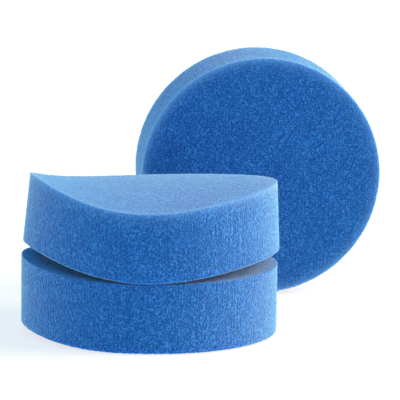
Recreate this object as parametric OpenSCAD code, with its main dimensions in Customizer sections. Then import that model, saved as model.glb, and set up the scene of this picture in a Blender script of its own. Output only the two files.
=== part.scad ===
// Sponge filter: a set of three loose round pads of coarse open-cell filter foam.
// One pad lies flat but for its sides, the second lies curled on top of it, the third stands on its rim.
// Millimetres, +Z up, front towards -Y, origin at the centre of the lower pad's underside.

/* [Pads] */
// outside diameter of every pad
pad_d = 150; // [120:1:180]
// thickness of every pad
pad_t = 40; // [30:1:50]

/* [Lower pad] */
// how far its left edge has sprung up off the floor
lift_left = 5.1; // [0:0.1:8]
// how far its right edge has sprung up off the floor
lift_right = 0.6; // [0:0.1:8]
// half width of the strip that lies flat, as a share of the radius
flat_half = 0.3; // [0.2:0.05:0.8]

/* [Upper pad] */
// clearance left between the lower pad and the lowest point of the upper one
rest_gap = 0.3; // [0.2:0.05:1]
// how far the upper pad sits forward of the lower one
shift_front = 1.3; // [0:0.1:12]
// how far the upper pad sits to the right of the lower one
shift_right = 0.9; // [-6:0.1:6]
// direction of the curl, counted from straight across the stack (degrees)
curl_turn = 18.2; // [0:0.1:40]
// rise of both edges where the upper pad curls up
curl_rise = 3.9; // [1:0.1:8]
// extra rise of the left edge, taken off the right edge
curl_skew = 6.6; // [0:0.1:8]
// extra rise that comes in only close to both edges
curl_lip = 1.8; // [0:0.1:5]
// droop of the front and rear edges across the curl
cross_droop = 3.2; // [0:0.1:6]
// twist of the sheet, as the rise of a point one radius out both ways
sheet_twist = 4.95; // [0:0.05:8]
// height the right edge gains because the pad lies rocked over
rock_right = 3.8; // [0:0.1:6]
// height the front edge gains because the pad lies rocked back
rock_front = 0.7; // [0:0.1:4]
// share of the curl's slope that the wall takes up
wall_follow = 0.36; // [0:0.01:1]

/* [Standing pad] */
// distance of the standing pad's centre to the right of the stack's
stand_side = 70.5; // [60:0.5:90]
// open space between the stack and the standing pad, before it is turned and leans
stand_gap = 35.8; // [30:0.1:50]
// turn of its front face to the right (degrees)
stand_turn = 4.7; // [0:0.1:10]
// forward lean of its front face (degrees)
stand_lean = 4.3; // [0:0.1:6]

/* [Hidden] */
$fn = 96;

pad_r = pad_d / 2;
rim_steps = 96;      // facets around a bent pad
face_rings = 9;      // rings of facets from its centre to its rim

light_blue = [0.20, 0.47, 0.80];
mid_blue = [0.15, 0.40, 0.74];
deep_blue = [0.10, 0.34, 0.66];

// In all these functions u runs to the right and v to the rear, in radii, and h is the height above
// the pad's own underside.

// Height of the lower pad's underside above the floor.
function spring(u) = (u < 0 ? lift_left : lift_right)
    * pow(max(0, abs(u) - flat_half) / (1 - flat_half), 2);
function lower_point(u, v, h) = [pad_r * u, pad_r * v, spring(u) + h];

// Height of the curled sheet above its own centre, across (u) and along (v) the curl.
function sheet(u, v) = curl_rise * u * u - curl_skew * u * u * u + curl_lip * pow(u, 4)
    - cross_droop * v * v - sheet_twist * u * v;
// Slopes of that sheet, in millimetres per millimetre.
function slope_u(u, v) = (2 * curl_rise * u - 3 * curl_skew * u * u + 4 * curl_lip * pow(u, 3)
    - sheet_twist * v) / pad_r;
function slope_v(u, v) = (-2 * cross_droop * v - sheet_twist * u) / pad_r;
// Height with the way the pad lies rocked added.
function lie(u, v) = sheet(u, v) + rock_right * u - rock_front * v;
function upper_point(u, v, h) = [
    pad_r * u - (wall_follow * slope_u(u, v) + rock_right / pad_r) * h,
    pad_r * v - (wall_follow * slope_v(u, v) - rock_front / pad_r) * h,
    lie(u, v) + h
];

// Centre and rings of points that both bent pads are built on.
net = concat([[0, 0]],
    [for (k = [1:face_rings]) for (j = [0:rim_steps - 1])
        k / face_rings * [cos(360 * j / rim_steps), sin(360 * j / rim_steps)]]);
// How far right over the lower pad a point of the curled sheet lies.
function over_u(p) = p[0] * cos(curl_turn) - p[1] * sin(curl_turn) + shift_right / pad_r;
lowest = min([for (p = net) lie(p[0], p[1]) - spring(over_u(p))]);

function at(k, j) = 1 + (k - 1) * rim_steps + (j % rim_steps);

// A closed disc between two nets of points, one for its top and one for its underside.
module bent_disc(top_points, under_points) {
    top_fan = [for (j = [0:rim_steps - 1]) [0, at(1, j + 1), at(1, j)]];
    top_a = [for (k = [1:face_rings - 1]) for (j = [0:rim_steps - 1]) [at(k, j), at(k, j + 1), at(k + 1, j + 1)]];
    top_b = [for (k = [1:face_rings - 1]) for (j = [0:rim_steps - 1]) [at(k, j), at(k + 1, j + 1), at(k + 1, j)]];
    top = concat(top_fan, top_a, top_b);
    count = len(net);
    under = [for (f = top) [count + f[0], count + f[2], count + f[1]]];
    wall_a = [for (j = [0:rim_steps - 1])
        [at(face_rings, j), at(face_rings, j + 1), count + at(face_rings, j + 1)]];
    wall_b = [for (j = [0:rim_steps - 1])
        [at(face_rings, j), count + at(face_rings, j + 1), count + at(face_rings, j)]];
    polyhedron(points = concat(top_points, under_points),
        faces = concat(top, under, wall_a, wall_b), convexity = 6);
}

// Pad at the bottom of the stack; it rests on the flat strip across its middle.
module lower_pad() {
    color(mid_blue)
        bent_disc([for (p = net) lower_point(p[0], p[1], pad_t)], [for (p = net) lower_point(p[0], p[1], 0)]);
}

// Second pad, lying on the first with its edges curled up.
module upper_pad() {
    color(light_blue)
        translate([shift_right, -shift_front, pad_t + rest_gap - lowest])
            rotate([0, 0, curl_turn])
                bent_disc([for (p = net) upper_point(p[0], p[1], pad_t)],
                    [for (p = net) upper_point(p[0], p[1], 0)]);
}

// Third pad, on its rim behind the stack, leaning a little towards it.
module standing_pad() {
    color(deep_blue)
        translate([stand_side, pad_r + stand_gap + pad_t / 2,
                pad_r * cos(stand_lean) + pad_t / 2 * sin(stand_lean)])
            rotate([0, 0, stand_turn])
                rotate([90 + stand_lean, 0, 0])
                    cylinder(r = pad_r, h = pad_t, center = true);
}

lower_pad();
upper_pad();
standing_pad();
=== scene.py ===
import math

import bmesh
import bpy
import numpy as np
from mathutils import Matrix, Vector


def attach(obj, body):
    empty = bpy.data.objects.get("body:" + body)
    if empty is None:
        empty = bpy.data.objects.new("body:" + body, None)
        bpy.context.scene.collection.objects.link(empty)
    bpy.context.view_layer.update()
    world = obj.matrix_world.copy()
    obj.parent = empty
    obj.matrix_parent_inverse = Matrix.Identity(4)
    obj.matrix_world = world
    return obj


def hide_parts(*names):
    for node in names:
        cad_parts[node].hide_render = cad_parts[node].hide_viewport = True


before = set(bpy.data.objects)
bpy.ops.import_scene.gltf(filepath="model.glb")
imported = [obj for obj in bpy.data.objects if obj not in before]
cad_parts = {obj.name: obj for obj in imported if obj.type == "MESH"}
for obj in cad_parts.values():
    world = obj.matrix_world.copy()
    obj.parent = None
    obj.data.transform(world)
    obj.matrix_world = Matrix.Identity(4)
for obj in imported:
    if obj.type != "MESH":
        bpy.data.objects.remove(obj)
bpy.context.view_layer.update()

# The pads, in metres, with the names that the part's source has for the same sizes.
PAD_RADIUS = 0.075
PAD_THICK = 0.040
LIFT_LEFT = 0.0051
LIFT_RIGHT = 0.0006
FLAT_HALF = 0.3
REST_GAP = 0.0003
SHIFT_FRONT = 0.0013
SHIFT_RIGHT = 0.0009
CURL_TURN = math.radians(18.2)
CURL_RISE = 0.0039
CURL_SKEW = 0.0066
CURL_LIP = 0.0018
CROSS_DROOP = 0.0032
SHEET_TWIST = 0.00495
ROCK_RIGHT = 0.0038
ROCK_FRONT = 0.0007
WALL_FOLLOW = 0.36
STAND_SIDE = 0.0705
STAND_GAP = 0.0358
STAND_TURN = math.radians(4.7)
STAND_LEAN = math.radians(4.3)

# The foam's cells come in two sizes. For each: how far apart they are, how wide the strut between two
# is left (in pitches), how deep the shallowest opens (as a share of the deepest), their share of the
# relief, and what sets their pattern apart from the other size's.
CELL_PITCH = 0.0017
CELL_SIZES = (
    {"pitch": CELL_PITCH, "strut": 0.26, "shallow": 0.55, "share": 0.55, "shift": 0.37, "salt": 0},
    {"pitch": 0.6 * CELL_PITCH, "strut": 0.3, "shallow": 0.3, "share": 0.45, "shift": 0.53, "salt": 20},
)
CELL_STRAY = 0.42  # how far a bubble may stray from the middle of its grid cell, in pitches
CELL_DEPTH = 0.0007  # depth of the deepest hollow below the struts
STRUT_PROUD = 0.0001  # how far the struts stand out of the cut face

# The skin: the size of its faces, the softened rim, how far the painted rim glow (a paler colour that
# stands in for light passing through the foam at the rims) reaches in, and how the relief is flattened
# where one pad presses on the other.
SKIN_STEP = 0.00046
RIM_FACETS = 192
RIM_ROUND = 0.00025
PAINTED_RIM_GLOW_REACH = 0.0026
PRESS_SHARE = 0.95
PRESS_FADE = 0.001

# The bake map, in shares of its width: both faces' discs at the bottom, the wall in strips above.
DISC_RADIUS = 0.245
TOP_MIDDLE = (0.25, 0.25)
UNDER_MIDDLE = (0.75, 0.25)
STRIPS = 3
STRIP_LEFT, STRIP_WIDTH = 0.01, 0.98
STRIP_BOTTOM, STRIP_PITCH, STRIP_HEIGHT = 0.51, 0.16, 0.15

FLOOR_HALF = 12
FLOOR_DROP = 0.0005  # below the lowest pad, so that the two surfaces don't coincide

# The camera: its place, how far it is turned right, down and anticlockwise (radians), its lens (mm).
CAMERA_PLACE = (-0.0445, -1.7004, 0.3365)
CAMERA_YAW, CAMERA_PITCH, CAMERA_ROLL = 0.0433, 0.1514, 0.0129
CAMERA_LENS = 264.9

# Sockets of a Mix node that mixes colours.
MIX_FACTOR, MIX_FIRST, MIX_SECOND, MIX_RESULT = 0, 6, 7, 2


def die_cut_blank():
    """A round pad as the die leaves it, with faintly softened rims and an even skin of small faces."""
    bm = bmesh.new()
    bmesh.ops.create_circle(bm, cap_ends=True, segments=RIM_FACETS, radius=PAD_RADIUS)
    top = bmesh.ops.extrude_face_region(bm, geom=bm.faces[:])
    bmesh.ops.translate(
        bm,
        verts=[v for v in top["geom"] if isinstance(v, bmesh.types.BMVert)],
        vec=(0, 0, PAD_THICK),
    )
    rims = [e for e in bm.edges if abs(e.verts[0].co.z - e.verts[1].co.z) < 1e-6]
    bmesh.ops.bevel(
        bm, geom=rims, offset=RIM_ROUND, segments=3, profile=0.5, affect="EDGES", material=-1
    )
    bmesh.ops.recalc_face_normals(bm, faces=bm.faces[:])
    mesh = bpy.data.meshes.new("pad_blank")
    bm.to_mesh(mesh)
    bm.free()
    blank = bpy.data.objects.new("pad_blank", mesh)
    bpy.context.scene.collection.objects.link(blank)
    skin = blank.modifiers.new("skin", "REMESH")
    skin.mode = "VOXEL"
    skin.voxel_size = SKIN_STEP
    bpy.context.view_layer.update()
    even = bpy.data.meshes.new_from_object(
        blank.evaluated_get(bpy.context.evaluated_depsgraph_get())
    )
    bpy.data.objects.remove(blank)
    return even


def vectors(items, key):
    """One vector of every item as rows of numbers."""
    rows = np.empty(len(items) * 3, np.float32)
    items.foreach_get(key, rows)
    return rows.reshape(-1, 3).astype(float)


def scatter(ix, iy, iz, salt):
    """An even, repeatable number from 0 to 1 for each cell of a grid. The large odd numbers only mix
    the bits well."""
    with np.errstate(over="ignore"):
        mixed = (
            ix.astype(np.uint32) * np.uint32(73856093)
            ^ iy.astype(np.uint32) * np.uint32(19349663)
            ^ iz.astype(np.uint32) * np.uint32(83492791)
            ^ np.uint32(salt * 2654435761 % 4294967296)
        )
        mixed = (mixed ^ (mixed >> np.uint32(15))) * np.uint32(2246822519)
        mixed = (mixed ^ (mixed >> np.uint32(13))) * np.uint32(3266489917)
        mixed = mixed ^ (mixed >> np.uint32(16))
    return mixed.astype(float) / 4294967295.0


def foam_cells(at, pitch, salt):
    """For each point, how much further off the second nearest bubble centre is than the nearest, in
    pitches, and a number that is the same all over a bubble."""
    p = at / pitch
    base = np.floor(p).astype(np.int64)
    near = np.full(len(p), 9.0)
    second = np.full(len(p), 9.0)
    tag = np.zeros(len(p))
    for dx in (-1, 0, 1):
        for dy in (-1, 0, 1):
            for dz in (-1, 0, 1):
                cell = base + (dx, dy, dz)
                spot = cell + 0.5 + CELL_STRAY * (
                    2 * np.stack([scatter(*cell.T, salt + k) for k in (1, 2, 3)], 1) - 1
                )
                d = np.linalg.norm(p - spot, axis=1)
                closer = d < near
                second = np.where(closer, near, np.minimum(second, d))
                tag = np.where(closer, scatter(*cell.T, salt + 4), tag)
                near = np.minimum(near, d)
    return second - near, tag


def smooth_step(high, x):
    """From 0 to 1 as x goes from 0 to high, without a kink at either end."""
    t = np.clip(x / high, 0, 1)
    return t * t * (3 - 2 * t)


def cut_open(flat, salt):
    """How far each point of the blank sinks into the cells, from 0 on a strut to 1 in the deepest."""
    depth = np.zeros(len(flat))
    for size in CELL_SIZES:
        wall, tag = foam_cells(flat + salt * size["shift"], size["pitch"], salt + size["salt"])
        cell_depth = size["shallow"] + (1 - size["shallow"]) * tag
        depth += size["share"] * smooth_step(size["strut"], wall) * cell_depth
    return depth


def spring(u):
    """How far the lower pad's sides have sprung up off the floor; u runs right, in radii."""
    past = np.maximum(0, np.abs(u) - FLAT_HALF) / (1 - FLAT_HALF)
    return np.where(u < 0, LIFT_LEFT, LIFT_RIGHT) * past**2


def sprung(p):
    """The lower pad's shape, as the part's source has it."""
    return p + np.outer(spring(p[:, 0] / PAD_RADIUS), (0, 0, 1))


def lie(u, v):
    """Height of the curled sheet across (u) and along (v) the curl, in radii."""
    return (
        CURL_RISE * u**2 - CURL_SKEW * u**3 + CURL_LIP * u**4
        - CROSS_DROOP * v**2 - SHEET_TWIST * u * v + ROCK_RIGHT * u - ROCK_FRONT * v
    )


def lowest_point():
    """How low the curled sheet reaches over the lower pad, counted from its own centre."""
    reach, turn = np.meshgrid(np.linspace(0, 1, 10), np.linspace(0, 2 * np.pi, 97))
    u, v = reach * np.cos(turn), reach * np.sin(turn)
    over = u * math.cos(CURL_TURN) - v * math.sin(CURL_TURN) + SHIFT_RIGHT / PAD_RADIUS
    return (lie(u, v) - spring(over)).min()


def open_gap(p):
    """How far apart the two stacked pads lie at a place across them."""
    c, s = math.cos(CURL_TURN), math.sin(CURL_TURN)
    x, y = p[:, 0] - SHIFT_RIGHT, p[:, 1] + SHIFT_FRONT
    sheet = lie((c * x + s * y) / PAD_RADIUS, (c * y - s * x) / PAD_RADIUS)
    return sheet - spring(p[:, 0] / PAD_RADIUS) - lowest_point() + REST_GAP


def curled(p):
    """The upper pad's curl and place, as the part's source has them."""
    u, v, height = p[:, 0] / PAD_RADIUS, p[:, 1] / PAD_RADIUS, p[:, 2]
    c, s = math.cos(CURL_TURN), math.sin(CURL_TURN)
    slope_u = 2 * CURL_RISE * u - 3 * CURL_SKEW * u**2 + 4 * CURL_LIP * u**3 - SHEET_TWIST * v
    slope_v = -2 * CROSS_DROOP * v - SHEET_TWIST * u
    x = p[:, 0] - (WALL_FOLLOW * slope_u + ROCK_RIGHT) / PAD_RADIUS * height
    y = p[:, 1] - (WALL_FOLLOW * slope_v - ROCK_FRONT) / PAD_RADIUS * height
    return np.stack(
        [
            c * x - s * y + SHIFT_RIGHT,
            s * x + c * y - SHIFT_FRONT,
            lie(u, v) + height - lowest_point() + PAD_THICK + REST_GAP,
        ],
        1,
    )


def stood_up(p):
    """The standing pad's place: on its rim behind the stack, turned a little and leaning forward."""
    middle = (
        STAND_SIDE,
        PAD_RADIUS + STAND_GAP + PAD_THICK / 2,
        PAD_RADIUS * math.cos(STAND_LEAN) + PAD_THICK / 2 * math.sin(STAND_LEAN),
    )
    place = np.array(
        Matrix.Translation(middle)
        @ Matrix.Rotation(STAND_TURN, 4, "Z")
        @ Matrix.Rotation(math.pi / 2 + STAND_LEAN, 4, "X")
        @ Matrix.Translation((0, 0, -PAD_THICK / 2))
    )
    return p @ place[:3, :3].T + place[:3, 3]


def bake_map(mesh, flat):
    """A plain unwrap: both faces as discs side by side, and the wall as strips above them."""
    corner = np.empty(len(mesh.loops), np.int32)
    mesh.loops.foreach_get("vertex_index", corner)
    count = np.empty(len(mesh.polygons), np.int32)
    mesh.polygons.foreach_get("loop_total", count)
    face = np.repeat(np.arange(len(count)), count)
    q = flat[corner]
    middle = np.stack([np.bincount(face, q[:, k]) / count for k in range(3)], 1)
    inward = PAD_RADIUS - np.hypot(middle[:, 0], middle[:, 1])
    on_top = (PAD_THICK - middle[:, 2] < inward)[face]
    under = (middle[:, 2] < inward)[face]
    wall = ~(on_top | under)

    disc = q[:, :2] / PAD_RADIUS * DISC_RADIUS
    uv = disc + TOP_MIDDLE
    uv[under] = disc[under] + UNDER_MIDDLE

    turn = np.arctan2(q[:, 1], q[:, 0]) / (2 * np.pi)
    mid_turn = (np.arctan2(middle[:, 1], middle[:, 0]) / (2 * np.pi))[face]
    turn = turn - np.round(turn - mid_turn) + 0.5
    strip = np.clip(np.floor((mid_turn + 0.5) * STRIPS), 0, STRIPS - 1)
    along = np.clip(turn * STRIPS - strip, -0.01, 1.01)
    up = np.clip(q[:, 2] / PAD_THICK, 0, 1)
    uv[wall] = np.stack(
        [
            STRIP_LEFT + STRIP_WIDTH * along,
            STRIP_BOTTOM + STRIP_PITCH * strip + STRIP_HEIGHT * up,
        ],
        1,
    )[wall]
    layer = mesh.uv_layers.new(name="OFBake")
    layer.uv.foreach_set("vector", uv.astype(np.float32).ravel())


def foam_pad(name, blank, salt, lay, painted_rim_glow, pressed_face):
    """One pad: the blank, its cut cells opened as hollows between struts, and the finished shape laid in
    place. The rim glow sets how much paler the rims of its underside and its top are painted, a painted
    glow that stands in for light through the rims, and pressed_face the height of the face that lies
    against the other stacked pad."""
    mesh = blank.copy()
    mesh.name = name
    flat = vectors(mesh.vertices, "co")
    out = vectors(mesh.vertex_normals, "vector")
    depth = cut_open(flat, salt)
    relief = STRUT_PROUD - CELL_DEPTH * depth
    if pressed_face is not None:
        close = np.exp(-(np.maximum(open_gap(lay(flat)) - REST_GAP, 0) / PRESS_FADE))
        close *= np.exp(-np.abs(flat[:, 2] - pressed_face) / PRESS_FADE)
        relief *= 1 - PRESS_SHARE * close
    placed = lay(flat + out * relief[:, None])
    mesh.vertices.foreach_set("co", placed.astype(np.float32).ravel())
    # Painted light: a glow painted near the rims of the underside and the top, a paler colour that
    # stands in for light passing through the foam at the rims.
    inward = PAD_RADIUS - np.hypot(flat[:, 0], flat[:, 1])
    pale = sum(
        glow * np.exp(-np.hypot(inward, flat[:, 2] - height) / PAINTED_RIM_GLOW_REACH)
        for glow, height in zip(painted_rim_glow, (0, PAD_THICK))
    )
    for key, value in (("cell_depth", depth), ("painted_rim_light", pale)):
        attribute = mesh.attributes.new(key, "FLOAT", "POINT")
        attribute.data.foreach_set("value", value.astype(np.float32))
    bake_map(mesh, flat)
    mesh.shade_smooth()
    mesh.update()
    pad = bpy.data.objects.new(name, mesh)
    bpy.context.scene.collection.objects.link(pad)
    return pad


def node_tools(material):
    """Two short hands for a material's emptied node tree: one adds a node, the other joins two."""
    tree = material.node_tree
    tree.nodes.clear()

    def node(kind, **settings):
        added = tree.nodes.new(kind)
        for key, value in settings.items():
            setattr(added, key, value)
        return added

    def join(source, out, target, into):
        tree.links.new(source.outputs[out], target.inputs[into])

    return node, join


def open_cell_foam(name, tone):
    """Coarse blue filter foam: pale struts and deep blue hollows as painted shade in the cells over a
    random mottle, and a painted glow at the rims standing in for light through the skin.
    """
    material = bpy.data.materials.new(name)
    material.use_nodes = True
    node, join = node_tools(material)
    at = node("ShaderNodeTexCoord")
    depth = node("ShaderNodeAttribute", attribute_name="cell_depth")

    # The finest cells, less than a millimetre across.
    fine = node("ShaderNodeTexVoronoi", feature="DISTANCE_TO_EDGE")
    fine.inputs["Scale"].default_value = 1100
    join(at, "Object", fine, "Vector")
    pore = node("ShaderNodeMapRange", interpolation_type="SMOOTHSTEP")
    pore.inputs["From Min"].default_value = 0.02
    pore.inputs["From Max"].default_value = 0.25
    join(fine, "Distance", pore, "Value")

    # A slow drift of the tone over a centimetre or two.
    cloud = node("ShaderNodeTexNoise")
    cloud.inputs["Scale"].default_value = 60
    cloud.inputs["Detail"].default_value = 4
    join(at, "Object", cloud, "Vector")
    drift = node("ShaderNodeMapRange")
    drift.inputs["From Min"].default_value = 0.25
    drift.inputs["From Max"].default_value = 0.75
    drift.inputs["To Min"].default_value = -0.05
    drift.inputs["To Max"].default_value = 0.05
    join(cloud, "Fac", drift, "Value")

    # How deep in the foam a point lies: its cell's depth, some of the finest cells, and the drift. The
    # ramp below turns it into painted shade, darker in the hollows and paler on the struts, over a
    # random mottle from the cells and the drift.
    cells = node("ShaderNodeMath", operation="MULTIPLY_ADD")
    join(pore, "Result", cells, 0)
    cells.inputs[1].default_value = 0.16
    join(depth, "Fac", cells, 2)
    shade = node("ShaderNodeMath", operation="ADD")
    join(cells, "Value", shade, 0)
    join(drift, "Result", shade, 1)

    # Painted shade: the ramp darkens the hollows of the cells, where shade falls, against paler struts.
    colour = node("ShaderNodeValToRGB")
    ramp = colour.color_ramp
    ramp.elements[0].position = 0.14
    ramp.elements[0].color = (*tone["strut"], 1)
    ramp.elements[1].position = 0.9
    ramp.elements[1].color = (*tone["hollow"], 1)
    middle = ramp.elements.new(0.5)
    middle.color = (*tone["body"], 1)
    join(shade, "Value", colour, "Fac")

    # The rims: a painted glow, a paler colour mixed in near the rims that stands in for light passing
    # through the foam there.
    rim = node("ShaderNodeAttribute", attribute_name="painted_rim_light")
    rim_glow_paint = node("ShaderNodeMix", data_type="RGBA")
    rim_glow_paint.inputs[MIX_SECOND].default_value = (*tone["rim"], 1)
    join(rim, "Fac", rim_glow_paint, MIX_FACTOR)
    join(colour, "Color", rim_glow_paint, MIX_FIRST)

    bump = node("ShaderNodeBump")
    bump.inputs["Strength"].default_value = 0.35
    bump.inputs["Distance"].default_value = 0.0003
    bump.invert = True
    join(pore, "Result", bump, "Height")

    rough = node("ShaderNodeMapRange")
    rough.inputs["To Min"].default_value = 0.6
    rough.inputs["To Max"].default_value = 0.95
    join(shade, "Value", rough, "Value")

    skin = node("ShaderNodeBsdfPrincipled")
    skin.inputs["Subsurface Weight"].default_value = 1
    skin.inputs["Subsurface Radius"].default_value = (0.35, 0.6, 1.0)
    skin.inputs["Subsurface Scale"].default_value = 0.005
    skin.inputs["Sheen Weight"].default_value = 0.75
    skin.inputs["Sheen Roughness"].default_value = 0.52
    skin.inputs["Sheen Tint"].default_value = (1, 0.93, 0.95, 1)
    skin.inputs["Specular IOR Level"].default_value = 0
    join(rim_glow_paint, MIX_RESULT, skin, "Base Color")
    join(rough, "Result", skin, "Roughness")
    join(bump, "Normal", skin, "Normal")
    result = node("ShaderNodeOutputMaterial")
    join(skin, "BSDF", result, "Surface")
    return material


def pale_floor():
    """A wide plain floor that glows a little, so that it stays pale under the tinted light."""
    material = bpy.data.materials.new("pale_floor")
    material.use_nodes = True
    skin = material.node_tree.nodes["Principled BSDF"]
    skin.inputs["Base Color"].default_value = (0.5, 0.42, 0.36, 1)
    skin.inputs["Roughness"].default_value = 0.9
    skin.inputs["Emission Color"].default_value = (1, 0.955, 0.93, 1)
    skin.inputs["Emission Strength"].default_value = 0.72
    bm = bmesh.new()
    bmesh.ops.create_grid(bm, x_segments=1, y_segments=1, size=FLOOR_HALF)
    mesh = bpy.data.meshes.new("floor")
    bm.to_mesh(mesh)
    bm.free()
    mesh.materials.append(material)
    floor = bpy.data.objects.new("floor", mesh)
    floor.location.z = -FLOOR_DROP
    bpy.context.scene.collection.objects.link(floor)


def lamp(name, towards, strength, spread, colour):
    """A wide, even lamp far away; towards is the way its light travels, and spread its angle."""
    light = bpy.data.lights.new(name, "SUN")
    light.energy = strength
    light.angle = math.radians(spread)
    light.color = colour
    holder = bpy.data.objects.new(name, light)
    holder.rotation_euler = Vector(towards).to_track_quat("-Z", "Y").to_euler()
    bpy.context.scene.collection.objects.link(holder)


def studio():
    """Two warm lamps from the right, and a cool room light that the camera sees as white."""
    lamp("high_right", (-0.8, 0, -0.6), 2.45, 40, (1, 0.81, 0.66))
    lamp("low_right", (-1, 0.06, -0.15), 1.12, 40, (1, 0.86, 0.54))
    world = bpy.data.worlds.new("room")
    world.use_nodes = True
    tree = world.node_tree
    skylight = tree.nodes["Background"]
    skylight.inputs["Color"].default_value = (0.16, 0.66, 1, 1)
    skylight.inputs["Strength"].default_value = 0.73
    backdrop = tree.nodes.new("ShaderNodeBackground")
    backdrop.inputs["Color"].default_value = (1, 1, 1, 1)
    seen = tree.nodes.new("ShaderNodeLightPath")
    either = tree.nodes.new("ShaderNodeMixShader")
    tree.links.new(seen.outputs["Is Camera Ray"], either.inputs[0])
    tree.links.new(skylight.outputs["Background"], either.inputs[1])
    tree.links.new(backdrop.outputs["Background"], either.inputs[2])
    tree.links.new(either.outputs["Shader"], tree.nodes["World Output"].inputs["Surface"])
    bpy.context.scene.world = world
    bpy.context.scene.view_settings.view_transform = "Standard"


def camera():
    """A long lens a little above the pads, nearly straight in front of them."""
    yaw, pitch, roll = CAMERA_YAW, CAMERA_PITCH, CAMERA_ROLL
    ahead = Vector(
        (math.sin(yaw) * math.cos(pitch), math.cos(yaw) * math.cos(pitch), -math.sin(pitch))
    )
    level = Vector((math.cos(yaw), -math.sin(yaw), 0))
    up = level.cross(ahead)
    right = math.cos(roll) * level + math.sin(roll) * up
    up = -math.sin(roll) * level + math.cos(roll) * up
    data = bpy.data.cameras.new("camera")
    data.lens = CAMERA_LENS
    data.sensor_width = 36
    data.clip_end = 60
    holder = bpy.data.objects.new("camera", data)
    bpy.context.scene.collection.objects.link(holder)
    turn = Matrix((right, up, -ahead)).transposed()
    holder.matrix_world = Matrix.Translation(CAMERA_PLACE) @ turn.to_4x4()
    bpy.context.scene.camera = holder


camera()
studio()
pale_floor()

# strut, body and hollow are the foam's blues laid out as painted shade, darker the deeper a point lies
# in its cell; rim is the colour of the painted glow of light through the rims.
TONE = {
    "strut": (0.045, 0.305, 0.77),
    "body": (0.001, 0.137, 0.462),
    "hollow": (0, 0.10, 0.41),
    "rim": (0.26, 0.54, 0.84),
}
# Each pad: the number its cells are scattered from, how it is laid in place, how pale the rims of its
# underside and its top are painted (a painted glow standing in for light through the rims), and the
# height of the face that lies against the other stacked pad.
PADS = (
    ("lower_pad", 3, sprung, (0, 0), PAD_THICK),
    ("upper_pad", 7, curled, (0, 0.5), 0),
    ("standing_pad", 11, stood_up, (0.75, 0.75), None),
)
blank = die_cut_blank()
for name, salt, lay, painted_rim_glow, pressed_face in PADS:
    pad = foam_pad(name + "_foam", blank, salt, lay, painted_rim_glow, pressed_face)
    pad.data.materials.append(open_cell_foam(name + "_blue_foam", TONE))
    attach(pad, name)
    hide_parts(name)
bpy.data.meshes.remove(blank)
